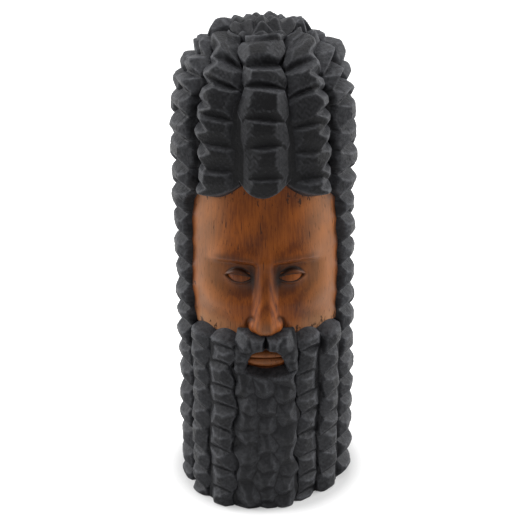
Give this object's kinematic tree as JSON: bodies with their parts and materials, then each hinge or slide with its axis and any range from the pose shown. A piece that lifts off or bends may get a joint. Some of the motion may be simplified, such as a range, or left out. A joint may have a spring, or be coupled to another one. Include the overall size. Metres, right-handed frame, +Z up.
{
  "type": "carved wooden head",
  "caption": "Free-standing carved wooden head in the round, with chip-carved black beaded locks, fringe and beard round a calm oiled brown face, on a flat sawn foot",
  "frame": {"origin": "centre of the sawn foot, on the surface that the carving stands on", "axes": "+Z up along the log, the face looks along -Y, +X to the right of someone who faces the carving"},
  "size_m": [0.1144, 0.1141, 0.305],
  "materials": {
    "hair_wood": "ebonised, satin",
    "face_wood": "oiled, satin",
    "log_wood": "sawn, bare"
  },
  "bodies": {
    "root": {"log_core": "log_wood", "crown_tuft": "hair_wood", "face_panel": "face_wood", "mouth_panel": "face_wood", "upper_lip": "face_wood", "lower_lip": "face_wood", "eye_left": "face_wood", "eye_right": "face_wood", "fringe_lock_centre": "hair_wood", "fringe_lock_left": "hair_wood", "fringe_lock_right": "hair_wood", "temple_lock_left": "hair_wood", "temple_lock_right": "hair_wood", "chin_lock_centre": "hair_wood", "chin_lock_left": "hair_wood", "chin_lock_right": "hair_wood", "moustache_left": "hair_wood", "moustache_right": "hair_wood", "beard_lock_left_1": "hair_wood", "beard_lock_left_2": "hair_wood", "beard_lock_right_1": "hair_wood", "beard_lock_right_2": "hair_wood", "hair_lock_left_1": "hair_wood", "hair_lock_left_2": "hair_wood", "hair_lock_left_3": "hair_wood", "hair_lock_left_4": "hair_wood", "hair_lock_left_5": "hair_wood", "hair_lock_right_1": "hair_wood", "hair_lock_right_2": "hair_wood", "hair_lock_right_3": "hair_wood", "hair_lock_right_4": "hair_wood", "hair_lock_right_5": "hair_wood"}
  },
  "joints": []
}
